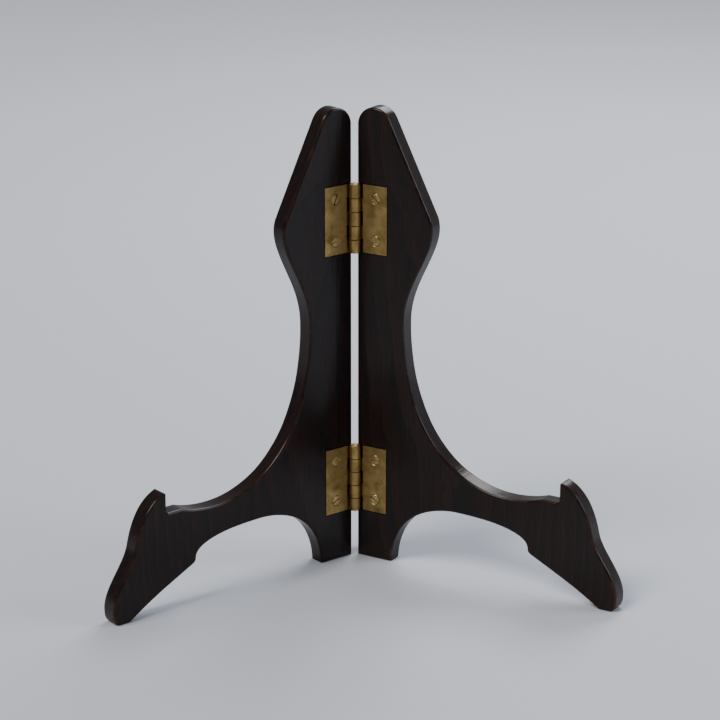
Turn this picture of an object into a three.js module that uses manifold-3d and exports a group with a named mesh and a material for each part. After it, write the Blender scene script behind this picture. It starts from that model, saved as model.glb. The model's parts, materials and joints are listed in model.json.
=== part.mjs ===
// Folding plate display stand: two fretsawn hardwood boards, joined along their rear edges
// by two small brass butt hinges, so that the stand opens to a V and folds flat.
// Millimetres. +X is to the right, -Y is the front where the plate's face shows, +Z is up,
// and Z = 0 is the table. Each board has its own frame: x forward from the hinge axis,
// z up, and "lateral" for the distance from the plane that the boards fold shut about.
import * as THREE from "three";
import { mergeVertices } from "three/addons/utils/BufferGeometryUtils.js";
import Module from "manifold-3d";

const wasm = await Module();
wasm.setup();

// ---- whole stand ----
const openingAngle = THREE.MathUtils.degToRad(110); // between the boards in use
const plateLean = THREE.MathUtils.degToRad(16); // of the plate, back from upright
const clearance = 0.3; // between pieces that rest on or run in each other

// ---- boards ----
const boardThickness = 7;
const boardHeight = 176;
const boardReach = 110; // hinge axis to toe
const rearGap = 0.3; // hinge axis plane to rear edge: the rear edges stop the stand at flat
const rearFootLength = 15;
const archHeight = 25.5;
const cuspSetback = 36.7; // behind the toe
const cuspHeight = 16;
const cuspRound = 1.6; // how far the cusp's rounding reaches from its corner, both ways
const frontSoleStart = 7; // behind the toe
const frontSoleEnd = 2.3; // behind the toe
const toeHeight = 6; // where the toe is widest
const ankleSetback = 10.4; // behind the toe
const ankleHeight = 27.5;
const seatHeight = 38; // of the ledge that the plate's rim stands on
const seatLength = 7;
const seatFillet = 1.5;
const hookSetback = 24; // behind the toe, to the hook's inner face
const hookRise = 8; // of the hook above the seat
const hookTipRound = 1.4;
const waistWidth = 20;
const waistHeight = 96;
const headRadius = 7;
const headLength = 38; // top of the board down to the shoulder

// ---- how the outline's curves bend: handles, each [forward, up] from its curve's end ----
const heelToCrown = { start: [1, 17.5], end: [-16, 0] };
const crownToCusp = { start: [18, 0], end: [0, 5] };
const toeToAnkle = { start: [-0.7, 8.4], end: [1.6, -7.4] };
const ankleToHook = { start: [-2.1, 9.5], end: [5.6, -2.2] };
const seatToWaist = { start: [-27, -9], end: [0, -50] };
const waistToShoulderReach = { start: 17, end: 13 }; // along the upright and along the rest
const soleHandle = [-6, 4.5]; // the front leg's underside, where it comes down to its sole
const toeHandle = [0.2, -5.5];
const hookTipCrown = 0.3; // that the tip's handle stands above the hook's top

// ---- hinges ----
const hingeHeight = 26;
const lowerHingeCentre = 32;
const upperHingeDrop = 42; // top of the board down to the upper hinge's centre
const pinRadius = 1.1;
const barrelWall = 0.8;
const leafThickness = 1;
const leafReach = 13; // hinge axis to the leaf's free edge
const knuckleCount = 5;
const screwReach = 8; // hinge axis to the screws
const screwSpacing = 16; // between a leaf's two screws
const screwHeadRadius = 1.9;
const screwHeadDepth = 1;
const screwShankRadius = 0.9;
const screwTipLength = 1.6;
const screwCover = 1.5; // wood left between the screw's tip and the board's outer face
const screwSlotWidth = 0.5;
const screwSlotDepth = 0.45;
const pinChamfer = 0.275;

// ---- sizes that follow from those ----
const halfOpening = openingAngle / 2;
const boreRadius = pinRadius + clearance;
const barrelRadius = boreRadius + barrelWall;
const innerFace = barrelRadius - leafThickness; // lateral distance of a board's inner face
const outerFace = innerFace + boardThickness;
const leafStart = barrelRadius + 2 * clearance; // a leaf clears its partner's knuckles
const screwLength = boardThickness - screwCover;
const hookFace = boardReach - hookSetback;

// ---- fineness ----
const roundSegments = 32;
const curveSegments = 14;
const mergeDistance = 1e-4; // corners closer than this are one corner
const throughCut = 1; // how far a cutter runs past the surface it cuts

// ---- materials ----
const darkWood = { color: 0x1d120d, roughness: 0.38, metalness: 0 };
const brass = { color: 0xa8853f, roughness: 0.35, metalness: 1 };

// A closed solid from a geometry whose faces may not share their corners yet.
function solidOf(geometry) {
  geometry.deleteAttribute("normal");
  geometry.deleteAttribute("uv");
  const merged = mergeVertices(geometry, mergeDistance);
  return new wasm.Manifold(
    new wasm.Mesh({
      numProp: 3,
      vertProperties: new Float32Array(merged.attributes.position.array),
      triVerts: new Uint32Array(merged.index.array),
    }),
  );
}

function geometryOf(solid) {
  const mesh = solid.getMesh();
  const geometry = new THREE.BufferGeometry();
  geometry.setAttribute("position", new THREE.BufferAttribute(mesh.vertProperties, 3));
  geometry.setIndex(new THREE.BufferAttribute(mesh.triVerts, 1));
  geometry.computeVertexNormals();
  return geometry;
}

function addPiece(group, name, solid, look) {
  const piece = new THREE.Mesh(geometryOf(solid), new THREE.MeshStandardMaterial(look));
  piece.name = name;
  group.add(piece);
}

// A box between two corners given as [forward, lateral, up]; side is +1 right, -1 left.
function blockBetween(side, low, high) {
  const block = new THREE.BoxGeometry(high[0] - low[0], high[1] - low[1], high[2] - low[2]);
  const middle = low.map((value, axis) => (value + high[axis]) / 2);
  block.translate(middle[0], side * middle[1], middle[2]);
  return solidOf(block);
}

// Carries an outline on along a curve to an end point, with the handles of that curve.
function curveTo(outline, handles, [endX, endY]) {
  const from = outline.currentPoint;
  outline.bezierCurveTo(
    from.x + handles.start[0],
    from.y + handles.start[1],
    endX + handles.end[0],
    endY + handles.end[1],
    endX,
    endY,
  );
}

// The silhouette of one board, counterclockwise from the heel, in forward and up.
function boardOutline() {
  const cuspX = boardReach - cuspSetback;
  const crownX = (rearFootLength + cuspX) / 2;
  const ankleX = boardReach - ankleSetback;
  const soleX = boardReach - frontSoleStart;
  const soleHandleX = soleX + soleHandle[0];
  const underside = new THREE.Vector2(soleHandleX - cuspX, soleHandle[1] - cuspHeight).normalize();
  const hookTop = seatHeight + hookRise;

  const outline = new THREE.Shape();
  outline.moveTo(rearGap, 0);
  outline.lineTo(rearFootLength, 0);
  // the arch: up the rear leg to its crown, and forward to the cusp behind the front leg
  curveTo(outline, heelToCrown, [crownX, archHeight]);
  curveTo(outline, crownToCusp, [cuspX, cuspHeight + cuspRound]);
  outline.quadraticCurveTo(cuspX, cuspHeight, cuspX + cuspRound * underside.x,
    cuspHeight + cuspRound * underside.y);
  // the front leg's underside, its short sole and the round toe
  outline.quadraticCurveTo(soleHandleX, soleHandle[1], soleX, 0);
  outline.lineTo(boardReach - frontSoleEnd, 0);
  outline.quadraticCurveTo(boardReach + toeHandle[0], toeHeight + toeHandle[1], boardReach, toeHeight);
  // up the S-shaped front: in to the ankle, then over the knee to the hook's tip
  curveTo(outline, toeToAnkle, [ankleX, ankleHeight]);
  curveTo(outline, ankleToHook, [hookFace + hookTipRound, hookTop - hookTipCrown]);
  outline.quadraticCurveTo(hookFace, hookTop + hookTipCrown, hookFace, hookTop - hookTipRound);
  // down the hook's inner face to the seat
  outline.lineTo(hookFace, seatHeight + seatFillet);
  outline.quadraticCurveTo(hookFace, seatHeight, hookFace - seatFillet, seatHeight);
  outline.lineTo(hookFace - seatLength, seatHeight);
  // back along the arm and up to the waist of the upright
  curveTo(outline, seatToWaist, [waistWidth, waistHeight]);

  // out to the shoulder, up the sloping rest for the plate's back, and over the round head
  const lean = new THREE.Vector2(-Math.tan(plateLean) / Math.cos(halfOpening), 1).normalize();
  const headX = rearGap + headRadius;
  const headY = boardHeight - headRadius;
  const restTopX = headX + headRadius * lean.y;
  const restTopY = headY - headRadius * lean.x;
  const shoulderY = boardHeight - headLength;
  const shoulderX = restTopX - (lean.x / lean.y) * (restTopY - shoulderY);
  const waistToShoulder = {
    start: [0, waistToShoulderReach.start],
    end: [-waistToShoulderReach.end * lean.x, -waistToShoulderReach.end * lean.y],
  };
  curveTo(outline, waistToShoulder, [shoulderX, shoulderY]);
  outline.absarc(headX, headY, headRadius, Math.atan2(-lean.x, lean.y), Math.PI, false);
  outline.closePath();
  return outline;
}

// One board, sawn from the sheet: its outline, extruded across its thickness.
function sawnBoard(side) {
  const slab = new THREE.ExtrudeGeometry(boardOutline(), {
    depth: boardThickness,
    bevelEnabled: false,
    curveSegments,
  });
  slab.rotateX(Math.PI / 2);
  slab.translate(0, side > 0 ? outerFace : -innerFace, 0);
  return solidOf(slab);
}

// The mortise that lets a hinge leaf and the barrel's side into the board's inner face.
function leafMortise(side, centre) {
  const halfHeight = hingeHeight / 2 + clearance;
  return blockBetween(
    side,
    [-throughCut, innerFace - throughCut, centre - halfHeight],
    [leafReach + clearance, barrelRadius + clearance, centre + halfHeight],
  );
}

// A lathe-turned solid whose axis runs across the board, outwards from the inner face.
function turnedAcross(side, profile, forward, up) {
  const points = profile.map(([radius, depth]) => new THREE.Vector2(radius, innerFace + depth));
  const turned = new THREE.LatheGeometry(points, roundSegments);
  if (side < 0) {
    turned.rotateX(Math.PI);
  }
  turned.translate(forward, 0, up);
  return solidOf(turned);
}

// A countersunk wood screw with a slotted head, flush with the leaf.
function countersunkScrew(side, up) {
  const screw = turnedAcross(
    side,
    [
      [0, 0],
      [screwHeadRadius, 0],
      [screwShankRadius, screwHeadDepth],
      [screwShankRadius, screwLength - screwTipLength],
      [0, screwLength],
    ],
    screwReach,
    up,
  );
  const slot = blockBetween(
    side,
    [screwReach - screwSlotWidth / 2, innerFace - throughCut, up - screwHeadRadius - throughCut],
    [screwReach + screwSlotWidth / 2, innerFace + screwSlotDepth, up + screwHeadRadius + throughCut],
  );
  return screw.subtract(slot);
}

// The hole for that screw: its shape grown by the clearance, cut from leaf and board alike.
function screwHole(side, up) {
  const mouth = screwHeadRadius + clearance;
  const shank = screwShankRadius + clearance;
  return turnedAcross(
    side,
    [
      [0, -throughCut],
      [mouth, -throughCut],
      [mouth, 0],
      [shank, screwHeadDepth],
      [shank, screwLength - screwTipLength],
      [0, screwLength + clearance],
    ],
    screwReach,
    up,
  );
}

// One knuckle with the strip of leaf that joins it to the plate, seen along the pin.
function knuckleSection(side) {
  const section = new THREE.Shape();
  const curlStart = Math.asin(innerFace / barrelRadius); // where the strip's inner face meets it
  const curlEnd = -1.5 * Math.PI; // where the strip's outer face is tangent to it
  for (let step = 0; step <= roundSegments; step += 1) {
    const angle = curlStart + ((curlEnd - curlStart) * step) / roundSegments;
    const x = barrelRadius * Math.cos(angle);
    const y = side * barrelRadius * Math.sin(angle);
    if (step === 0) {
      section.moveTo(x, y);
    } else {
      section.lineTo(x, y);
    }
  }
  section.lineTo(leafStart + clearance, side * barrelRadius);
  section.lineTo(leafStart + clearance, side * innerFace);
  section.closePath();
  const bore = new THREE.Path();
  bore.absarc(0, 0, boreRadius, 0, 2 * Math.PI, false);
  section.holes.push(bore);
  return section;
}

// A hinge leaf: its plate and every second knuckle, with its screw holes.
function hingeLeaf(side, centre, firstKnuckle) {
  const bottom = centre - hingeHeight / 2;
  const knuckleLength = (hingeHeight - (knuckleCount - 1) * clearance) / knuckleCount;
  let leaf = blockBetween(
    side,
    [leafStart, innerFace, bottom],
    [leafReach, barrelRadius, bottom + hingeHeight],
  );
  for (let knuckle = firstKnuckle; knuckle < knuckleCount; knuckle += 2) {
    const curl = new THREE.ExtrudeGeometry(knuckleSection(side), {
      depth: knuckleLength,
      bevelEnabled: false,
      curveSegments: roundSegments / 2,
    });
    curl.translate(0, 0, bottom + knuckle * (knuckleLength + clearance));
    leaf = leaf.add(solidOf(curl));
  }
  for (const up of screwHeights(centre)) {
    leaf = leaf.subtract(screwHole(side, up));
  }
  return leaf;
}

function screwHeights(centre) {
  return [centre + screwSpacing / 2, centre - screwSpacing / 2];
}

// The hinge pin, its ends flush with the barrel and slightly chamfered.
function hingePin(centre) {
  const half = hingeHeight / 2;
  const profile = [
    [0, -half],
    [pinRadius - pinChamfer, -half],
    [pinRadius, -half + pinChamfer],
    [pinRadius, half - pinChamfer],
    [pinRadius - pinChamfer, half],
    [0, half],
  ];
  const points = profile.map(([radius, up]) => new THREE.Vector2(radius, up));
  const pin = new THREE.LatheGeometry(points, roundSegments);
  pin.rotateX(Math.PI / 2);
  pin.translate(0, 0, centre);
  return solidOf(pin);
}

// ---- assembly ----
const hinges = [
  { name: "upper", centre: boardHeight - upperHingeDrop },
  { name: "lower", centre: lowerHingeCentre },
];
const halves = [
  { name: "left", side: -1, firstKnuckle: 0 },
  { name: "right", side: 1, firstKnuckle: 1 },
];

const stand = new THREE.Group();
for (const { name, side, firstKnuckle } of halves) {
  const half = new THREE.Group();
  half.rotation.z = -Math.PI / 2 + side * halfOpening;
  let board = sawnBoard(side);
  for (const hinge of hinges) {
    board = board.subtract(leafMortise(side, hinge.centre));
    const leafName = `${hinge.name}_hinge_${name}`;
    addPiece(half, `${leafName}_leaf`, hingeLeaf(side, hinge.centre, firstKnuckle), brass);
    screwHeights(hinge.centre).forEach((up, index) => {
      board = board.subtract(screwHole(side, up));
      const place = index === 0 ? "top" : "bottom";
      addPiece(half, `${leafName}_${place}_screw`, countersunkScrew(side, up), brass);
    });
  }
  addPiece(half, `${name}_frame`, board, darkWood);
  stand.add(half);
}
for (const hinge of hinges) {
  addPiece(stand, `${hinge.name}_hinge_pin`, hingePin(hinge.centre), brass);
}

// The origin is the bottom centre of the whole stand.
stand.updateMatrixWorld(true);
const bounds = new THREE.Box3().setFromObject(stand, true);
stand.position.y = -(bounds.min.y + bounds.max.y) / 2;

export default stand;
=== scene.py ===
import json

import bmesh
import bpy
import numpy as np
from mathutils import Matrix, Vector


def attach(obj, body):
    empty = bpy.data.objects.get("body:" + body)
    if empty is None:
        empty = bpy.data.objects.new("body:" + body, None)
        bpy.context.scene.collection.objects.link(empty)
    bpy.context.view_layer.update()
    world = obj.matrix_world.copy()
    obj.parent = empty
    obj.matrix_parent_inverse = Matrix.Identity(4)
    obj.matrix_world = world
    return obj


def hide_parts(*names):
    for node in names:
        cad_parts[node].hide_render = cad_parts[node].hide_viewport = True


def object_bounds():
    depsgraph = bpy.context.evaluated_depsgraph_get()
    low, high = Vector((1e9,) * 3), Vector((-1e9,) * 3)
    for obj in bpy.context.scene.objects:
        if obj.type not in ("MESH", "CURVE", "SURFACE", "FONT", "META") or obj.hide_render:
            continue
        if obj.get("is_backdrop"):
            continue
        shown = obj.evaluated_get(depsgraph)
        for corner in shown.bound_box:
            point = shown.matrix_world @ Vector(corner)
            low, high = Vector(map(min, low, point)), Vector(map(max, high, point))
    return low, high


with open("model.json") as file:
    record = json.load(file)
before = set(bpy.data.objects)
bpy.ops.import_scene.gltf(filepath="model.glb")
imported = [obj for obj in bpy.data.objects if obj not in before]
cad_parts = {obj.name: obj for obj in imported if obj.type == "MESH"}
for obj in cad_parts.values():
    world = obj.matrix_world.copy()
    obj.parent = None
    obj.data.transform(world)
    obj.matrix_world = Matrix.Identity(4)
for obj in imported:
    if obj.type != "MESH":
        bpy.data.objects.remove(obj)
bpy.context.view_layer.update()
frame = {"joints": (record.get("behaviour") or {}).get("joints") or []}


# ---- boards ----
# The stand is two mirrored boards, each fretsawn in one piece from 7 mm sheet of a close-grained
# hardwood with its grain upright. The sawn edges are eased with file and sandpaper, shallow
# mortises let the hinges in, and the wood is stained nearly black and varnished.

# Sizes are in millimetres, and MM turns them into metres. A board's own directions are forward
# from the hinge axis, lateral from the plane that the boards fold about, and up.
MM = 0.001
fold = frame["joints"][0]
HINGE_AXIS = np.array(fold["pos_m"][:2]) / MM
HALF_OPENING = np.radians(-fold["range_deg"][0] / 2)
SIDES = {"left": -1, "right": 1}

BOARD_THICKNESS = 7.0
BOARD_HEIGHT = 176.0
BOARD_REACH = 110.0  # from the hinge axis to the toe
INNER_FACE = 1.2  # lateral: the barrels hold the folded boards twice this apart
REAR_EDGE = 0.3  # forward: opened flat, the boards' rear edges are twice this apart
PLATE_LEAN = np.radians(16)

# Setbacks are measured back from the toe.
REAR_FOOT = 15.0
ARCH_HEIGHT = 25.5
CUSP_SETBACK, CUSP_HEIGHT, CUSP_ROUND = 36.7, 16.0, 1.6
SOLE_START_SETBACK, SOLE_END_SETBACK = 7.0, 2.3
TOE_HEIGHT = 6.0
ANKLE_SETBACK, ANKLE_HEIGHT = 10.4, 27.5
SEAT_HEIGHT, SEAT_LENGTH, SEAT_FILLET = 38.0, 7.0, 1.5
HOOK_SETBACK, HOOK_RISE, HOOK_TIP_ROUND, HOOK_TIP_CROWN = 24.0, 8.0, 1.4, 0.3
WAIST_WIDTH, WAIST_HEIGHT = 20.0, 96.0
HEAD_RADIUS, HEAD_LENGTH = 7.0, 38.0

# The handles that bend each curve of the silhouette, [forward, up] from its two ends.
HEEL_TO_CROWN = [1, 17.5], [-16, 0]
CROWN_TO_CUSP = [18, 0], [0, 5]
TOE_TO_ANKLE = [-0.7, 8.4], [1.6, -7.4]
ANKLE_TO_HOOK = [-2.1, 9.5], [5.6, -2.2]
SEAT_TO_WAIST = [-27, -9], [0, -50]
WAIST_PULL, SHOULDER_PULL = 17.0, 13.0
SOLE_HANDLE = [-6, 4.5]
TOE_HANDLE = [0.2, -5.5]

# The mortises follow the hinge leaves, with the gap all round.
HINGE_HEIGHT = 26.0
UPPER_HINGE_DROP, LOWER_HINGE_HEIGHT = 42.0, 32.0
HINGE_CENTRES = {"upper": BOARD_HEIGHT - UPPER_HINGE_DROP, "lower": LOWER_HINGE_HEIGHT}
LEAF_REACH = 13.0
LEAF_THICKNESS = 1.0
FIT_GAP = 0.3


def place(side, forward, lateral, up):
    """Points given in a board's own directions, in the row frame in metres: forward along the
    board's heading from the hinge axis, lateral square to it and outwards, and up."""
    heading = -np.pi / 2 + side * HALF_OPENING
    along = np.array([np.cos(heading), np.sin(heading)])
    across = side * np.array([-np.sin(heading), np.cos(heading)])
    forward, lateral, up = np.broadcast_arrays(forward, lateral, up)
    flat = HINGE_AXIS + forward[..., None] * along + lateral[..., None] * across
    return np.concatenate([flat, up[..., None]], axis=-1) * MM


def curve(start, end, handles, spacing=0.6):
    """A cubic through both ends, (1-t)^3 a + 3(1-t)^2 t b + 3(1-t) t^2 c + t^3 d, where b and c
    lie a handle away from a and d, at steps of about the spacing and without its last point."""
    a, d = np.array(start, float), np.array(end, float)
    b, c = a + handles[0], d + handles[1]
    length = np.linalg.norm(np.diff([a, b, c, d], axis=0), axis=1).sum()
    t = np.arange(0, 1, 1 / np.ceil(length / spacing))[:, None]
    return (1 - t) ** 3 * a + 3 * (1 - t) ** 2 * t * b + 3 * (1 - t) * t ** 2 * c + t ** 3 * d


def bend(start, corner, end):
    """A quadratic that heads for the corner from both ends: a cubic whose handles go two thirds
    of the way there."""
    start, corner, end = (np.array(point, float) for point in (start, corner, end))
    return curve(start, end, ((corner - start) * 2 / 3, (corner - end) * 2 / 3))


def board_outline():
    """The silhouette, counterclockwise from the heel, as points of [forward, up] with a flag on
    each hard corner. The rear edge is the stretch from the last point back to the first."""
    hook = BOARD_REACH - HOOK_SETBACK
    hook_top = SEAT_HEIGHT + HOOK_RISE
    heel = np.array([REAR_FOOT, 0])
    cusp = np.array([BOARD_REACH - CUSP_SETBACK, CUSP_HEIGHT])
    crown = np.array([(REAR_FOOT + cusp[0]) / 2, ARCH_HEIGHT])
    sole_start = np.array([BOARD_REACH - SOLE_START_SETBACK, 0])
    sole_end = np.array([BOARD_REACH - SOLE_END_SETBACK, 0])
    underside = sole_start + SOLE_HANDLE - cusp
    cusp_top = cusp + [0, CUSP_ROUND]
    cusp_end = cusp + CUSP_ROUND * underside / np.linalg.norm(underside)
    toe = np.array([BOARD_REACH, TOE_HEIGHT])
    ankle = np.array([BOARD_REACH - ANKLE_SETBACK, ANKLE_HEIGHT])
    tip_front = np.array([hook + HOOK_TIP_ROUND, hook_top - HOOK_TIP_CROWN])
    tip_back = np.array([hook, hook_top - HOOK_TIP_ROUND])
    fillet_top = np.array([hook, SEAT_HEIGHT + SEAT_FILLET])
    fillet_end = np.array([hook - SEAT_FILLET, SEAT_HEIGHT])
    seat_end = np.array([hook - SEAT_LENGTH, SEAT_HEIGHT])
    waist = np.array([WAIST_WIDTH, WAIST_HEIGHT])

    # the rest for the plate's back leans with the plate, seen along the board's face
    lean = np.array([-np.tan(PLATE_LEAN) / np.cos(HALF_OPENING), 1])
    lean /= np.linalg.norm(lean)
    head_steps = 28
    head = np.array([REAR_EDGE + HEAD_RADIUS, BOARD_HEIGHT - HEAD_RADIUS])
    rest_top = head + HEAD_RADIUS * np.array([lean[1], -lean[0]])
    shoulder = rest_top - lean / lean[1] * (rest_top[1] - (BOARD_HEIGHT - HEAD_LENGTH))
    turn = np.linspace(np.arctan2(-lean[0], lean[1]), np.pi, head_steps)
    head_round = head + HEAD_RADIUS * np.stack([np.cos(turn), np.sin(turn)], axis=1)

    hard, soft = True, False
    stretches = [
        (np.array([[REAR_EDGE, 0]]), hard),
        (curve(heel, crown, HEEL_TO_CROWN), hard),
        (curve(crown, cusp_top, CROWN_TO_CUSP), soft),
        (bend(cusp_top, cusp, cusp_end), soft),
        (bend(cusp_end, sole_start + SOLE_HANDLE, sole_start), soft),
        (sole_start[None], hard),
        (bend(sole_end, toe + TOE_HANDLE, toe), soft),
        (curve(toe, ankle, TOE_TO_ANKLE), soft),
        (curve(ankle, tip_front, ANKLE_TO_HOOK), soft),
        (bend(tip_front, [hook, hook_top + HOOK_TIP_CROWN], tip_back), soft),
        (tip_back[None], soft),
        (bend(fillet_top, [hook, SEAT_HEIGHT], fillet_end), soft),
        (fillet_end[None], soft),
        (curve(seat_end, waist, SEAT_TO_WAIST), soft),
        (curve(waist, shoulder, ([0, WAIST_PULL], -SHOULDER_PULL * lean)), soft),
        (shoulder[None], soft),
        (head_round, soft),
    ]
    points = np.concatenate([stretch for stretch, _ in stretches])
    starts = np.cumsum([0] + [len(stretch) for stretch, _ in stretches[:-1]])
    corner = np.zeros(len(points), bool)
    corner[starts[[is_hard for _, is_hard in stretches]]] = True
    return points, corner


def thinned_at_corners(points, corner, room=1.6):
    """Drops the points that lie closer to a hard corner than its eased edge needs."""
    distance = np.linalg.norm(points[:, None] - points[corner][None], axis=2).min(axis=1)
    kept = corner | (distance > room)
    return points[kept], corner[kept]


def mitres(points):
    """At each point: the step that moves both its edges inwards by one, which is the sum of
    their inward unit normals over one plus their dot product; the turn between them; and the
    length of the edge after it."""
    edge = np.roll(points, -1, axis=0) - points
    length = np.linalg.norm(edge, axis=1)
    after = np.stack([-edge[:, 1], edge[:, 0]], axis=1) / length[:, None]
    before = np.roll(after, 1, axis=0)
    dot = (before * after).sum(axis=1)
    turn = np.arctan2(before[:, 0] * after[:, 1] - before[:, 1] * after[:, 0], dot)
    return (before + after) / (1 + dot[:, None]), turn, length


def eased_radius(turn, length, corner):
    """The eased edge's radius at each point: the file's usual one times 1 plus two small sines
    of the distance run, but never more than about two thirds of the outline's own radius."""
    usual = 0.9
    own_share = 0.68
    straight = 1e-3  # a turn in radians that is too small to matter
    slow_share, slow_wave = 0.1, 7.3  # a wave's size is its millimetres for each radian
    quick_share, quick_wave, quick_start = 0.06, 2.9, 1.1
    blending_passes = 3
    run = np.cumsum(length)
    uneven = 1 + slow_share * np.sin(run / slow_wave)
    uneven = uneven + quick_share * np.sin(run / quick_wave + quick_start)
    curved = ~corner & (turn > straight)
    reach = (length + np.roll(length, 1)) / 2
    own_radius = np.where(curved, reach / np.maximum(turn, straight), np.inf)
    radius = np.minimum(usual * uneven, own_share * own_radius)
    for _ in range(blending_passes):
        mean_of_three = (np.roll(radius, -1) + np.roll(radius, 1) + radius) / 3
        radius = np.minimum(radius, mean_of_three)
    return radius


def eased_section(radius):
    """The board's edge in section from its inner face to its outer one, a row for each level: a
    quarter circle at both faces and a flat between. Gives the inset from the outline, the
    lateral place, the share of an arris (1 is its middle), and the levels below the flat."""
    hold = 1.25  # a ring just past each quarter circle keeps the faces flat in shading
    steps = 7
    quarter = np.linspace(0, np.pi / 2, steps)[:, None]
    inset = np.concatenate([hold * radius[None], radius * (1 - np.sin(quarter)), 0 * radius[None]])
    rise = np.concatenate([0 * radius[None], radius * (1 - np.cos(quarter)), hold * radius[None]])
    arris = np.concatenate([[0], np.sin(2 * quarter[:, 0]), [0]])
    floor = np.full_like(radius[None], LEAF_THICKNESS + FIT_GAP)
    lateral = np.concatenate([rise, floor, BOARD_THICKNESS - rise[::-1]])
    return (
        np.concatenate([inset, 0 * floor, inset[::-1]]),
        INNER_FACE + lateral,
        np.concatenate([arris, [0], arris[::-1]]),
        len(inset),
    )


def mesh_object(name, vertices, faces, smooth_angle=35.0):
    """A mesh object with its place in its mesh, smooth but for edges sharper than the angle."""
    mesh = bpy.data.meshes.new(name)
    mesh.from_pydata(np.asarray(vertices).tolist(), [], faces)
    mesh.validate()
    smooth_but_for_edges(mesh, smooth_angle)
    piece = bpy.data.objects.new(name, mesh)
    bpy.context.scene.collection.objects.link(piece)
    return piece


def smooth_but_for_edges(mesh, smooth_angle):
    """Smooth shading, with every edge sharper than the angle in degrees kept sharp."""
    mesh.polygons.foreach_set("use_smooth", np.ones(len(mesh.polygons), bool))
    mesh.set_sharp_from_angle(angle=np.radians(smooth_angle))


def grid_faces(rows, columns):
    """Quads between the rows of a grid of points whose columns close into a ring. They face
    right-handed about the direction in which the rows advance."""
    index = np.arange(rows * columns).reshape(rows, columns)
    here, there = index[:-1], index[1:]
    quads = [here, np.roll(here, -1, axis=1), np.roll(there, -1, axis=1), there]
    return np.stack(quads, axis=-1).reshape(-1, 4)


def point_values(piece, name, values):
    """Stores one number at each point of a piece's mesh, for its material to read."""
    attribute = piece.data.attributes.new(name, "FLOAT", "POINT")
    attribute.data.foreach_set("value", np.asarray(values, np.float32).ravel())


def sawn_board(name, side):
    """A grid of section level by outline point. Each level is the outline moved inwards along
    its mitres by the section's inset. Between a hinge's two ends the levels up to the mortise's
    floor are folded down onto that floor, and one flat face closes each rim."""
    outline, corner = thinned_at_corners(*board_outline())
    mitre, turn, length = mitres(outline)
    radius = eased_radius(turn, length, corner)
    run = np.cumsum(length) - length

    # both walls of each mortise, as doubled points down the rear edge: outside it, then inside
    centres = np.array(list(HINGE_CENTRES.values()))[:, None]
    wall_up = (centres + (HINGE_HEIGHT / 2 + FIT_GAP) * np.array([1, 1, -1, -1])).ravel()
    rear = np.stack([np.full(len(wall_up), REAR_EDGE), wall_up], axis=1)
    inside = np.tile([False, True, True, False], len(centres))
    mortised = np.append(np.zeros(len(outline), bool), inside)
    sawn = np.append(np.ones(len(outline)), np.zeros(len(rear)))
    sawn[0] = 0  # the rear edge was planed, from the heel up
    outline = np.concatenate([outline, rear])
    mitre = np.concatenate([mitre, np.tile([1.0, 0.0], (len(rear), 1))])
    radius = np.append(radius, np.full(len(rear), radius[-1]))
    run = np.append(run, np.full(len(rear), run[-1]))

    inset, lateral, arris, floor_level = eased_section(radius)
    forward = outline[:, 0] + inset * mitre[:, 0]
    up = outline[:, 1] + inset * mitre[:, 1]
    mortise_end = LEAF_REACH + FIT_GAP
    across_floor = np.linspace(mortise_end, REAR_EDGE, floor_level)
    forward[:floor_level + 1, mortised] = np.append(mortise_end, across_floor)[:, None]
    lateral[:floor_level + 1, mortised] = INNER_FACE + LEAF_THICKNESS + FIT_GAP
    lateral[0, mortised] = INNER_FACE

    levels, count = forward.shape
    first, last = list(range(count)), list(range((levels - 1) * count, levels * count))
    faces = grid_faces(levels, count).tolist() + [first[::-1], last]
    if side > 0:
        faces = [face[::-1] for face in faces]
    board = mesh_object(name, place(side, forward, lateral, up).reshape(-1, 3), faces)

    # the arrises are rubbed all along, and most by the hook's tip, the toe, the heel and the head
    tips = np.array([
        [BOARD_REACH - HOOK_SETBACK, SEAT_HEIGHT + HOOK_RISE],
        [BOARD_REACH, 0],
        [0, 0],
        [0, BOARD_HEIGHT],
    ])
    least, rub_range = 0.55, 18.0
    to_tip = np.linalg.norm(outline[:, None] - tips[None], axis=2).min(axis=1)
    rubbing = least + (1 - least) * np.exp(-to_tip / rub_range)
    point_values(board, "edge_wear", arris[:, None] * np.where(mortised, 0, rubbing))
    point_values(board, "sawn_edge", (inset < radius) * sawn)
    point_values(board, "edge_run", np.broadcast_to(run, forward.shape))
    return board


def linear(hex_colour):
    """An sRGB hex colour as the linear red, green, blue and alpha that a shader takes."""
    values = np.array([int(hex_colour[i:i + 2], 16) for i in (1, 3, 5)]) / 255
    straight = np.where(values <= 0.04045, values / 12.92, ((values + 0.055) / 1.055) ** 2.4)
    return (*straight.tolist(), 1.0)


def add_node(tree, kind, settings=None, inputs=None):
    """Adds one shader node. Settings go on the node; an input that is a socket is linked, and
    any other is set. Inputs are keyed by name or by number."""
    node = tree.nodes.new(kind)
    for key, value in (settings or {}).items():
        setattr(node, key, value)
    for key, value in (inputs or {}).items():
        if isinstance(value, bpy.types.NodeSocket):
            tree.links.new(value, node.inputs[key])
        else:
            node.inputs[key].default_value = value
    return node


def new_material(name):
    """An empty node material and its tree."""
    material = bpy.data.materials.new(name)
    material.use_nodes = True
    material.node_tree.nodes.clear()
    return material, material.node_tree


def per_mm(*sizes):
    """Mapping scales that give a texture features of these sizes in millimetres."""
    return tuple(1 / size for size in sizes)


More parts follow.
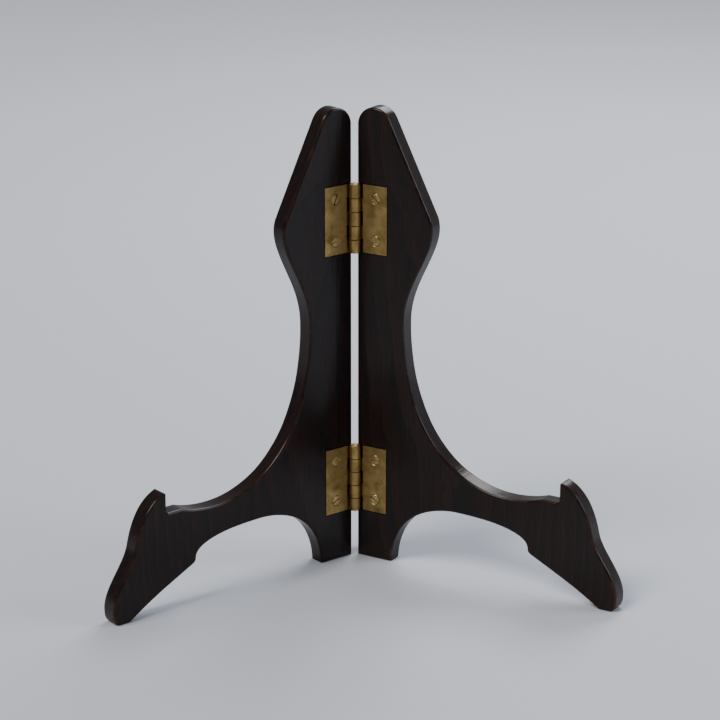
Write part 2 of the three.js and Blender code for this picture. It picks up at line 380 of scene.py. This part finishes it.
def stained_hardwood(name, side):
    """Walnut-like hardwood, spirit stained nearly black and brushed with satin varnish. The eye
    sees faint upright growth lines, short dark pores, a red-brown undertone where the arrises
    are rubbed, faint saw ripple on the sawn edges, and a soft reflection that wavers a little."""
    stain_dark, stain_light, pore_black, rubbed_brown = "#0c0503", "#210f09", "#080403", "#43200f"
    axis_from_pith = (-34.0 - 9 * side, 46.0, 0)  # each board has its own place in the log
    grain_lean = (0.05, 0.03 * side, 0)
    ring_spacing, ring_sway = 3.2, 9.0
    sway_across, sway_along = 20.0, 83.0
    fibre_width, fibre_length = 0.9, 28.0  # bundles: a single fibre is too fine to show
    pore_width, pore_length = 0.4, 11.0  # real pores are half as wide, too fine to show
    rubbed_patch, handled_patch = 6.0, 20.0
    brush_width, brush_length = 1.4, 17.0  # coarser than bristles leave, which is too fine to show
    saw_pitch = 0.8
    wood_relief, varnish_relief, saw_relief = 0.06, 0.08, 0.05
    ring_share = 0.45  # of the wood's tone, against the fibres' 1
    fibre_height, pore_height, film_dip = 0.35, -0.9, -0.25  # against the tone's and brushing's 1
    rubbed_dulling = 0.2

    material, tree = new_material(name)
    heading = -np.pi / 2 + side * HALF_OPENING
    turn_back = np.array([
        [np.cos(heading), np.sin(heading)],
        [-np.sin(heading), np.cos(heading)],
    ])
    board_mm = add_node(tree, "ShaderNodeMapping", None, {
        "Vector": add_node(tree, "ShaderNodeTexCoord").outputs["Object"],
        "Location": (*(turn_back @ -HINGE_AXIS), 0),
        "Rotation": (0, 0, -heading),
        "Scale": (1 / MM, 1 / MM, 1 / MM),
    }).outputs[0]

    # growth rings about a pith beside the board that leans a little off the upright
    sway_place = add_node(tree, "ShaderNodeMapping", None, {
        "Vector": board_mm, "Scale": per_mm(sway_across, sway_across, sway_along),
    }).outputs[0]
    sway = add_node(tree, "ShaderNodeTexNoise", None, {
        "Vector": sway_place, "Scale": 1.0, "Detail": 3.0, "Roughness": 0.5,
    }).outputs["Color"]
    swayed = add_node(tree, "ShaderNodeVectorMath", {"operation": "MULTIPLY_ADD"}, {
        0: sway, 1: (ring_sway, ring_sway, 0.0), 2: board_mm,
    }).outputs[0]
    from_pith = add_node(tree, "ShaderNodeMapping", None, {
        "Vector": swayed,
        "Location": axis_from_pith,
        "Rotation": grain_lean,
    }).outputs[0]
    rings = add_node(tree, "ShaderNodeTexWave", {
        "wave_type": "RINGS", "rings_direction": "Z", "wave_profile": "SAW",
    }, {
        "Vector": from_pith,
        "Scale": 2 * np.pi / (20 * ring_spacing),  # this texture repeats 20 / 2 pi times a unit
        "Distortion": 0.6,
        "Detail": 2.0,
        "Detail Scale": 0.5,
    }).outputs["Fac"]

    # fibres, and the short dark pores between them, both drawn out along the grain
    fibre_place = add_node(tree, "ShaderNodeMapping", None, {
        "Vector": board_mm, "Scale": per_mm(fibre_width, fibre_width, fibre_length),
    }).outputs[0]
    fibres = add_node(tree, "ShaderNodeTexNoise", None, {
        "Vector": fibre_place, "Scale": 1.0, "Detail": 5.0, "Roughness": 0.6,
    }).outputs["Fac"]
    pore_place = add_node(tree, "ShaderNodeMapping", None, {
        "Vector": swayed, "Scale": per_mm(pore_width, pore_width, pore_length),
    }).outputs[0]
    pore_noise = add_node(tree, "ShaderNodeTexNoise", None, {
        "Vector": pore_place, "Scale": 1.0, "Detail": 1.0, "Roughness": 0.4,
    }).outputs["Fac"]
    pores = add_node(tree, "ShaderNodeMapRange", {"interpolation_type": "SMOOTHSTEP"}, {
        "Value": pore_noise, "From Min": 0.6, "From Max": 0.7,
    }).outputs[0]

    # the stain lies darker in the open early wood and in the pores, and is thin on the arrises
    rings_and_fibres = add_node(tree, "ShaderNodeMath", {"operation": "MULTIPLY_ADD"}, {
        0: rings, 1: ring_share, 2: fibres,
    }).outputs[0]
    tone = add_node(tree, "ShaderNodeMapRange", None, {
        "Value": rings_and_fibres, "From Min": 0.4, "From Max": 1.05,
    }).outputs[0]
    wood = add_node(tree, "ShaderNodeMix", {"data_type": "RGBA"}, {
        0: tone, 6: linear(stain_dark), 7: linear(stain_light),
    }).outputs[2]
    pored = add_node(tree, "ShaderNodeMix", {"data_type": "RGBA"}, {
        0: pores, 6: wood, 7: linear(pore_black),
    }).outputs[2]
    edge_wear = add_node(tree, "ShaderNodeAttribute", {"attribute_name": "edge_wear"}).outputs["Fac"]
    patch_noise = add_node(tree, "ShaderNodeTexNoise", None, {
        "Vector": board_mm, "Scale": 1 / rubbed_patch, "Detail": 6.0, "Roughness": 0.65,
    }).outputs["Fac"]
    patches = add_node(tree, "ShaderNodeMapRange", {"interpolation_type": "SMOOTHSTEP"}, {
        "Value": patch_noise, "From Min": 0.44, "From Max": 0.66,
    }).outputs[0]
    rubbed = add_node(tree, "ShaderNodeMath", {"operation": "MULTIPLY"}, {
        0: edge_wear, 1: patches,
    }).outputs[0]
    colour = add_node(tree, "ShaderNodeMix", {"data_type": "RGBA"}, {
        0: rubbed, 6: pored, 7: linear(rubbed_brown),
    }).outputs[2]

    # the wood's own relief: fibres stand up, pores sink, and the saw left a ripple on its edges
    saw_run = add_node(tree, "ShaderNodeAttribute", {"attribute_name": "edge_run"}).outputs["Fac"]
    saw_steps = add_node(tree, "ShaderNodeMath", {"operation": "DIVIDE"}, {
        0: saw_run, 1: saw_pitch,
    }).outputs[0]
    saw_noise = add_node(tree, "ShaderNodeTexNoise", {"noise_dimensions": "1D"}, {
        "W": saw_steps, "Scale": 1.0, "Detail": 2.0, "Roughness": 0.5,
    }).outputs["Fac"]
    sawn_edge = add_node(tree, "ShaderNodeAttribute", {"attribute_name": "sawn_edge"}).outputs["Fac"]
    ripple = add_node(tree, "ShaderNodeMath", {"operation": "MULTIPLY"}, {
        0: saw_noise, 1: sawn_edge,
    }).outputs[0]
    saw_bump = add_node(tree, "ShaderNodeBump", None, {
        "Strength": 0.5, "Distance": saw_relief * MM, "Height": ripple,
    }).outputs[0]
    grain_height = add_node(tree, "ShaderNodeMath", {"operation": "MULTIPLY_ADD"}, {
        0: fibres, 1: fibre_height, 2: tone,
    }).outputs[0]
    wood_height = add_node(tree, "ShaderNodeMath", {"operation": "MULTIPLY_ADD"}, {
        0: pores, 1: pore_height, 2: grain_height,
    }).outputs[0]
    wood_bump = add_node(tree, "ShaderNodeBump", None, {
        "Strength": 0.5, "Distance": wood_relief * MM, "Height": wood_height, "Normal": saw_bump,
    }).outputs[0]

    # varnish: brush marks along the grain, a sink over each pore, duller where it is handled
    brush_place = add_node(tree, "ShaderNodeMapping", None, {
        "Vector": board_mm, "Scale": per_mm(brush_width, brush_width, brush_length),
    }).outputs[0]
    brushing = add_node(tree, "ShaderNodeTexNoise", None, {
        "Vector": brush_place, "Scale": 1.0, "Detail": 3.0, "Roughness": 0.5,
    }).outputs["Fac"]
    film_height = add_node(tree, "ShaderNodeMath", {"operation": "MULTIPLY_ADD"}, {
        0: pores, 1: film_dip, 2: brushing,
    }).outputs[0]
    film_bump = add_node(tree, "ShaderNodeBump", None, {
        "Strength": 0.35, "Distance": varnish_relief * MM, "Height": film_height, "Normal": saw_bump,
    }).outputs[0]
    handled = add_node(tree, "ShaderNodeTexNoise", None, {
        "Vector": board_mm, "Scale": 1 / handled_patch, "Detail": 4.0, "Roughness": 0.6,
    }).outputs["Fac"]
    dullness = add_node(tree, "ShaderNodeMapRange", None, {
        "Value": handled, "From Min": 0.3, "From Max": 0.7, "To Min": 0.3, "To Max": 0.52,
    }).outputs[0]
    roughness = add_node(tree, "ShaderNodeMath", {"operation": "MULTIPLY_ADD"}, {
        0: rubbed, 1: rubbed_dulling, 2: dullness,
    }).outputs[0]
    shader = add_node(tree, "ShaderNodeBsdfPrincipled", None, {
        "Base Color": colour,
        "Roughness": roughness,
        "IOR": 1.5,
        "Specular IOR Level": 0.05,  # the film fills the wood's surface, which barely reflects
        "Normal": wood_bump,
        "Coat Weight": 0.4,  # thin, and half sunk into the wood
        "Coat Roughness": 0.17,
        "Coat IOR": 1.5,
        "Coat Normal": film_bump,
    }).outputs[0]
    add_node(tree, "ShaderNodeOutputMaterial", None, {"Surface": shader})
    return material


for half, side in SIDES.items():
    board = sawn_board(f"{half}_board_wood", side)
    board.data.materials.append(stained_hardwood(f"stained_hardwood_{half}", side))
    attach(board, f"{half}_board")
    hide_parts(f"{half}_frame")


# ---- hinge leaves ----
# Two small butt hinges of sheet brass. Each leaf is a blank 1 mm thick with tabs along one edge
# that are rolled into knuckles and leave a fine seam where they come round to the plate. It is
# punched and countersunk for two screws, and has aged to a dull yellow-brown.

BARREL_RADIUS = 2.2
KNUCKLES = 5
FIRST_KNUCKLE = {"left": 0, "right": 1}
SCREW_REACH = 8.0
SCREW_OFFSETS = {"top": 8.0, "bottom": -8.0}
SCREW_HEAD_RADIUS = 1.9
SCREW_HEAD_DEPTH = 1.0
SCREW_SHANK_RADIUS = 0.9
SCREW_ROOM = 0.22  # between a screw and its hole


def turned_across(side, forward, up, radius, depth, steps=48):
    """The points and faces of a profile turned round an axis across the board. Each ring is a
    row of angles, its points a radius from the axis and a depth beyond the inner face. A ring
    of radius 0 closes that end to a pole."""
    angle = np.linspace(0, 2 * np.pi, steps, endpoint=False)
    points = place(
        side,
        forward + radius * np.cos(angle),
        INNER_FACE + depth,
        up + radius * np.sin(angle),
    )
    faces = grid_faces(len(radius), steps)
    return points.reshape(-1, 3), faces if side < 0 else faces[:, ::-1]


def welded(name, points, faces, smooth_angle=35.0):
    """A mesh object with the doubled points of its poles merged and its normals outwards."""
    doubled = 1e-7  # metres
    piece = mesh_object(name, points, np.asarray(faces).tolist())
    work = bmesh.new()
    work.from_mesh(piece.data)
    bmesh.ops.remove_doubles(work, verts=work.verts, dist=doubled)
    bmesh.ops.recalc_face_normals(work, faces=work.faces)
    work.to_mesh(piece.data)
    work.free()
    smooth_but_for_edges(piece.data, smooth_angle)
    return piece


def carved(piece, cutter, smooth_angle=35.0):
    """Applies the piece's modifiers, cuts the cutter out of it, and removes the cutter. The
    lines that the cut leaves across flat faces are dissolved."""
    cut = piece.modifiers.new("carve", "BOOLEAN")
    cut.operation = "DIFFERENCE"
    cut.solver = "EXACT"
    cut.object = cutter
    bpy.context.view_layer.update()
    finished = piece.evaluated_get(bpy.context.evaluated_depsgraph_get())
    mesh = bpy.data.meshes.new_from_object(finished)
    flat = np.radians(0.1)
    work = bmesh.new()
    work.from_mesh(mesh)
    bmesh.ops.dissolve_limit(work, angle_limit=flat, verts=work.verts, edges=work.edges)
    work.to_mesh(mesh)
    work.free()
    piece.modifiers.clear()
    piece.data = mesh
    bpy.data.objects.remove(cutter)
    smooth_but_for_edges(mesh, smooth_angle)
    return piece


def screw_sinks(name, side, centre):
    """The countersunk holes of a leaf's two screws, turned solids that run out of both faces."""
    mouth = SCREW_HEAD_RADIUS + SCREW_ROOM
    shank = SCREW_SHANK_RADIUS + SCREW_ROOM
    past = 0.5
    end = 2 * SCREW_HEAD_DEPTH
    radius = np.array([[0, mouth + past, mouth, shank, shank, 0]]).T
    depth = np.array([[-past, -past, 0, SCREW_HEAD_DEPTH, end, end]]).T
    holes = [turned_across(side, SCREW_REACH, centre + offset, radius, depth)
             for offset in SCREW_OFFSETS.values()]
    points = np.concatenate([points for points, _ in holes])
    faces = np.concatenate([faces + i * len(holes[0][0]) for i, (_, faces) in enumerate(holes)])
    return welded(name, points, faces)


def hinge_leaf(name, side, centre, first_knuckle):
    """A grid of place along the strip by height. Along the strip runs an arc about the hinge
    axis, from the knuckle's seam round to its top, and then the straight plate. Cells at the
    partner's knuckles are left out, and half the gauge is added to either side of the sheet."""
    middle = BARREL_RADIUS - LEAF_THICKNESS / 2
    seam = np.radians(360 + 12)  # the tab's end comes right round, close under the plate
    steps = 46
    roll = np.linspace(seam, np.pi / 2, steps)
    tab_end = BARREL_RADIUS + 2 * FIT_GAP
    plate = np.array([tab_end / 2, tab_end, LEAF_REACH])
    forward = np.concatenate([middle * np.cos(roll), plate])
    lateral = np.concatenate([middle * np.sin(roll), np.full(len(plate), middle)])
    in_plate = np.arange(len(forward) - 1) == len(forward) - 2  # the last cell, full height

    knuckle = (HINGE_HEIGHT - (KNUCKLES - 1) * FIT_GAP) / KNUCKLES
    low = centre - HINGE_HEIGHT / 2 + np.arange(KNUCKLES) * (knuckle + FIT_GAP)
    heights = np.stack([low, low + knuckle], axis=1).ravel()
    own_row = np.zeros(len(heights) - 1, bool)
    own_row[2 * first_knuckle::4] = True  # rows go knuckle, gap, the partner's knuckle, gap

    index = np.arange(len(forward) * len(heights)).reshape(len(forward), len(heights))
    cells = np.stack([index[:-1, :-1], index[1:, :-1], index[1:, 1:], index[:-1, 1:]], axis=-1)
    kept = cells[in_plate[:, None] | own_row[None, :]]
    used, faces = np.unique(kept, return_inverse=True)
    points = place(side, forward[:, None], lateral[:, None], heights[None, :]).reshape(-1, 3)
    leaf = mesh_object(name, points[used], faces.reshape(kept.shape).tolist())
    gauge = leaf.modifiers.new("gauge", "SOLIDIFY")
    gauge.thickness = LEAF_THICKNESS * MM
    gauge.offset = 0
    gauge.use_even_offset = True
    carved(leaf, screw_sinks(name + "_sinks", side, centre))
    soften = leaf.modifiers.new("soften", "BEVEL")
    soften.width = 0.1 * MM
    soften.segments = 2
    soften.limit_method = "ANGLE"
    soften.angle_limit = np.radians(50)
    flatten = leaf.modifiers.new("flatten", "WEIGHTED_NORMAL")
    flatten.keep_sharp = True
    return leaf


def aged_brass(name, bright, line_sizes):
    """Yellow brass, bare for decades. It is still metallic, but browned in drifting patches,
    with the lines that rolling, drawing or turning left, and a few pits. The lines are drawn
    several times wider than real ones, which are too fine to show."""
    tarnish = "#7b6136"
    patch_size, pit_spacing, pit_edge, pit_core = 4.3, 1.1, 0.16, 0.06
    line_relief, pit_depth = 0.03, 0.5  # a pit's depth is a share of the lines'
    material, tree = new_material(name)
    piece_mm = add_node(tree, "ShaderNodeMapping", None, {
        "Vector": add_node(tree, "ShaderNodeTexCoord").outputs["Object"],
        "Scale": (1 / MM, 1 / MM, 1 / MM),
    }).outputs[0]
    drift = add_node(tree, "ShaderNodeTexNoise", None, {
        "Vector": piece_mm, "Scale": 1 / patch_size, "Detail": 6.0, "Roughness": 0.62,
    }).outputs["Fac"]
    browned = add_node(tree, "ShaderNodeMapRange", {"interpolation_type": "SMOOTHSTEP"}, {
        "Value": drift, "From Min": 0.3, "From Max": 0.8,
    }).outputs[0]
    colour = add_node(tree, "ShaderNodeMix", {"data_type": "RGBA"}, {
        0: browned, 6: linear(bright), 7: linear(tarnish),
    }).outputs[2]
    line_place = add_node(tree, "ShaderNodeMapping", None, {
        "Vector": piece_mm, "Scale": per_mm(*line_sizes),
    }).outputs[0]
    lines = add_node(tree, "ShaderNodeTexNoise", None, {
        "Vector": line_place, "Scale": 1.0, "Detail": 4.0, "Roughness": 0.6,
    }).outputs["Fac"]
    pit_distance = add_node(tree, "ShaderNodeTexVoronoi", None, {
        "Vector": piece_mm, "Scale": 1 / pit_spacing, "Randomness": 1.0,
    }).outputs["Distance"]
    off_pits = add_node(tree, "ShaderNodeMapRange", {"interpolation_type": "SMOOTHSTEP"}, {
        "Value": pit_distance, "From Min": pit_core, "From Max": pit_edge,
    }).outputs[0]
    relief = add_node(tree, "ShaderNodeMath", {"operation": "MULTIPLY_ADD"}, {
        0: off_pits, 1: pit_depth, 2: lines,
    }).outputs[0]
    bump = add_node(tree, "ShaderNodeBump", None, {
        "Strength": 0.45, "Distance": line_relief * MM, "Height": relief,
    }).outputs[0]
    roughness = add_node(tree, "ShaderNodeMapRange", None, {
        "Value": drift, "From Min": 0.3, "From Max": 0.75, "To Min": 0.26, "To Max": 0.5,
    }).outputs[0]
    shader = add_node(tree, "ShaderNodeBsdfPrincipled", None, {
        "Base Color": colour, "Metallic": 1.0, "Roughness": roughness, "Normal": bump,
    }).outputs[0]
    add_node(tree, "ShaderNodeOutputMaterial", None, {"Surface": shader})
    return material


sheet_brass = aged_brass("aged_rolled_brass", bright="#ab9059", line_sizes=(0.3, 0.3, 6.0))
for level, centre in HINGE_CENTRES.items():
    for half, side in SIDES.items():
        node = f"{level}_hinge_{half}_leaf"
        leaf = hinge_leaf(node + "_rolled", side, centre, FIRST_KNUCKLE[half])
        leaf.data.materials.append(sheet_brass)
        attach(leaf, f"{half}_board")
        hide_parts(node)


# ---- hinge pins ----
# A drawn brass wire through each barrel, cut nearly flush and peened into a low dome at both
# ends. It is tight in the left leaf's knuckles and turns in the right leaf's.

PIN_RADIUS = 1.1
PIN_DOME = 0.3


def peened_pin(name, centre):
    """A profile turned round the hinge axis: a flattened dome, whose radius is the pin's times
    the sine of the angle from its pole and whose height is a share of the cosine, the straight
    wire, and the other dome."""
    rings, steps = 7, 40
    sunk = 0.05  # the wire ends this far inside the barrel, and its domes stand out
    dome = np.linspace(0, np.pi / 2, rings)
    half = HINGE_HEIGHT / 2 - sunk
    radius = PIN_RADIUS * np.append(np.sin(dome), np.sin(dome[::-1]))
    up = np.append(-half - PIN_DOME * np.cos(dome), half + PIN_DOME * np.cos(dome[::-1]))
    angle = np.linspace(0, 2 * np.pi, steps, endpoint=False)
    circle = np.stack([np.cos(angle), np.sin(angle)], axis=-1)
    flat = HINGE_AXIS + radius[:, None, None] * circle
    height = np.broadcast_to((centre + up)[:, None, None], (len(up), len(angle), 1))
    points = np.concatenate([flat, height], axis=-1).reshape(-1, 3) * MM
    return welded(name, points, grid_faces(len(up), len(angle)))


drawn_brass = aged_brass("aged_drawn_brass", bright="#b89c63", line_sizes=(0.55, 0.55, 11.0))
for level, centre in HINGE_CENTRES.items():
    node = f"{level}_hinge_pin"
    pin = peened_pin(node + "_peened", centre)
    pin.data.materials.append(drawn_brass)
    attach(pin, "left_board")
    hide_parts(node)


# ---- screws ----
# Countersunk wood screws of turned brass, with a sawn slot across the flat head and a thread
# that fades out under it. Each was driven by hand, so every slot stopped at its own angle.

SCREW_LENGTH = 5.5
HEAD_RINGS = [  # radius and depth, from the middle of the head over its worn rim to the cone
    (0, 0),
    (1.62, 0),
    (1.82, 0.02),
    (SCREW_HEAD_RADIUS, 0.1),
    (1.86, 0.18),
    (1.35, 0.6),
]
CORE_RADIUS, CORE_START, POINT_LENGTH = 0.72, 1.05, 1.8
THREAD_PITCH, THREAD_HEIGHT, THREAD_START = 0.85, 0.24, 1.3
SLOT_WIDTH, SLOT_DEPTH = 0.5, 0.5


def wood_screw(name, side, up, slot_angle):
    """Radius by depth and angle. Below the head it is the core's, narrowing as the 0.6th power
    of the distance from the point, plus a ridge: the square of how near the depth in pitches,
    less the angle in turns, comes to half way between two whole numbers."""
    rings, steps = 64, 36
    taper = 0.6
    head = np.array(HEAD_RINGS)
    core_depth = np.linspace(CORE_START, SCREW_LENGTH, rings)
    to_point = np.minimum((SCREW_LENGTH - core_depth) / POINT_LENGTH, 1)
    core = np.append(head[:, 0], CORE_RADIUS * to_point ** taper)[:, None]
    depth = np.append(head[:, 1], core_depth)[:, None]
    angle = np.linspace(0, 2 * np.pi, steps, endpoint=False)
    turns = depth / THREAD_PITCH - side * angle / (2 * np.pi)
    ridge = (1 - np.abs(2 * (turns % 1) - 1)) ** 2
    fade_in = np.clip((depth - THREAD_START) / THREAD_PITCH, 0, 1)
    fade_out = np.clip((SCREW_LENGTH - depth) / THREAD_PITCH, 0, 1)
    radius = core + THREAD_HEIGHT * ridge * fade_in * fade_out
    screw = welded(name, *turned_across(side, SCREW_REACH, up, radius, depth, steps))

    past = 0.5
    along = np.array([np.cos(slot_angle), np.sin(slot_angle)])
    across = np.array([-along[1], along[0]])
    corners = np.array([[-1, -1], [1, -1], [1, 1], [-1, 1]])
    spread = corners[:, :1] * (SCREW_HEAD_RADIUS + past) * along
    spread = spread + corners[:, 1:] * SLOT_WIDTH / 2 * across
    ends = [place(side, SCREW_REACH + spread[:, 0], INNER_FACE + level, up + spread[:, 1])
            for level in (-past, SLOT_DEPTH)]
    faces = grid_faces(2, len(corners)).tolist() + [[3, 2, 1, 0], [4, 5, 6, 7]]
    return carved(screw, welded(name + "_slot", np.concatenate(ends), faces))


turned_brass = aged_brass("aged_turned_brass", bright="#cdb279", line_sizes=(1.1, 1.1, 1.1))
slot_angles = iter(np.random.default_rng(7).uniform(0, np.pi, 8))  # one for each screw
for level, centre in HINGE_CENTRES.items():
    for half, side in SIDES.items():
        for end, offset in SCREW_OFFSETS.items():
            node = f"{level}_hinge_{half}_{end}_screw"
            screw = wood_screw(node + "_slotted", side, centre + offset, next(slot_angles))
            screw.data.materials.append(turned_brass)
            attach(screw, f"{half}_board")
            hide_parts(node)


# ---- table and backdrop ----
# A plain pale studio cove of matt paper: a level floor under the stand that curves up into a
# low wall far away on every side, so that no view shows an edge.

def paper_cove():
    """A profile turned round the upright axis: level out to the bend, a quarter circle up, and
    a short upright wall. Its normals face inwards. Sizes are in metres."""
    floor_radius, bend_radius, wall_top = 2.0, 0.8, 1.3
    rings, steps = 16, 96
    wall_radius = floor_radius + bend_radius
    turn = np.linspace(0, np.pi / 2, rings)
    radius = np.concatenate([[0], floor_radius + bend_radius * np.sin(turn), [wall_radius]])
    up = np.concatenate([[0], bend_radius * (1 - np.cos(turn)), [wall_top]])
    angle = np.linspace(0, 2 * np.pi, steps, endpoint=False)
    ring = radius[:, None, None] * np.stack([np.cos(angle), np.sin(angle)], axis=-1)
    height = np.broadcast_to(up[:, None, None], (len(up), len(angle), 1))
    points = np.concatenate([ring, height], axis=-1).reshape(-1, 3)
    faces = grid_faces(len(up), len(angle))[:, ::-1].tolist()
    return mesh_object("paper_cove", points, faces, smooth_angle=60)


def matt_paper():
    """Uncoated pale grey paper. The eye sees only its shadowless matt field and, close to, the
    fine fleece of its fibres."""
    fibre_size, fibre_relief = 0.7, 0.05  # tufts: a single fibre is too fine to show
    material, tree = new_material("matt_paper")
    fibres = add_node(tree, "ShaderNodeTexNoise", None, {
        "Vector": add_node(tree, "ShaderNodeTexCoord").outputs["Object"],
        "Scale": 1 / (fibre_size * MM),
        "Detail": 3.0,
        "Roughness": 0.6,
    }).outputs["Fac"]
    bump = add_node(tree, "ShaderNodeBump", None, {
        "Strength": 0.2, "Distance": fibre_relief * MM, "Height": fibres,
    }).outputs[0]
    shader = add_node(tree, "ShaderNodeBsdfPrincipled", None, {
        "Base Color": linear("#b9bec8"), "Roughness": 0.8, "Normal": bump,
    }).outputs[0]
    add_node(tree, "ShaderNodeOutputMaterial", None, {"Surface": shader})
    return material


cove = paper_cove()
cove.data.materials.append(matt_paper())
cove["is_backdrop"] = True


# ---- light and camera ----
# Soft studio light: a broad distant key from the upper left, a small weak panel on the right,
# and a panel above and behind that draws out the dark edges. The camera looks slightly down.

low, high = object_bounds()
middle = np.array((low + high) / 2)


def aim(thing, position):
    """Adds a light or camera at a position in metres, turned to look at the stand's middle."""
    thing.location = position
    thing.rotation_euler = (Vector(middle) - Vector(position)).to_track_quat("-Z", "Y").to_euler()
    bpy.context.scene.collection.objects.link(thing)


def soft_panel(name, position, size, power, colour):
    """A square area light aimed at the stand, its size in metres and its power in watts."""
    light = bpy.data.lights.new(name, "AREA")
    light.size = size
    light.energy = power
    light.color = linear(colour)[:3]
    aim(bpy.data.objects.new(name, light), position)


soft_panel("side_panel", (0.95, -0.15, 0.55), size=0.5, power=5, colour="#eef3ff")
soft_panel("back_panel", (0.35, 0.75, 0.85), size=0.6, power=9, colour="#ffffff")

key = bpy.data.lights.new("key", "SUN")
key.energy = 2.6
key.angle = np.radians(28)
key.color = linear("#fffaf2")[:3]
aim(bpy.data.objects.new("key", key), (-1.5, -0.9, 2.4))

world = bpy.data.worlds.new("studio")
world.use_nodes = True
world.node_tree.nodes["Background"].inputs["Color"].default_value = linear("#dfe4ea")
world.node_tree.nodes["Background"].inputs["Strength"].default_value = 0.3
bpy.context.scene.world = world

azimuth, elevation = np.radians(-4.0), np.radians(18.0)
distance, framed_width = 0.9, 0.262
away = np.array([
    np.sin(azimuth) * np.cos(elevation),
    -np.cos(azimuth) * np.cos(elevation),
    np.sin(elevation),
])
lens = bpy.data.cameras.new("camera")
lens.sensor_width = 36
lens.lens = lens.sensor_width * distance / framed_width
camera = bpy.data.objects.new("camera", lens)
aim(camera, middle + away * distance)
bpy.context.scene.camera = camera
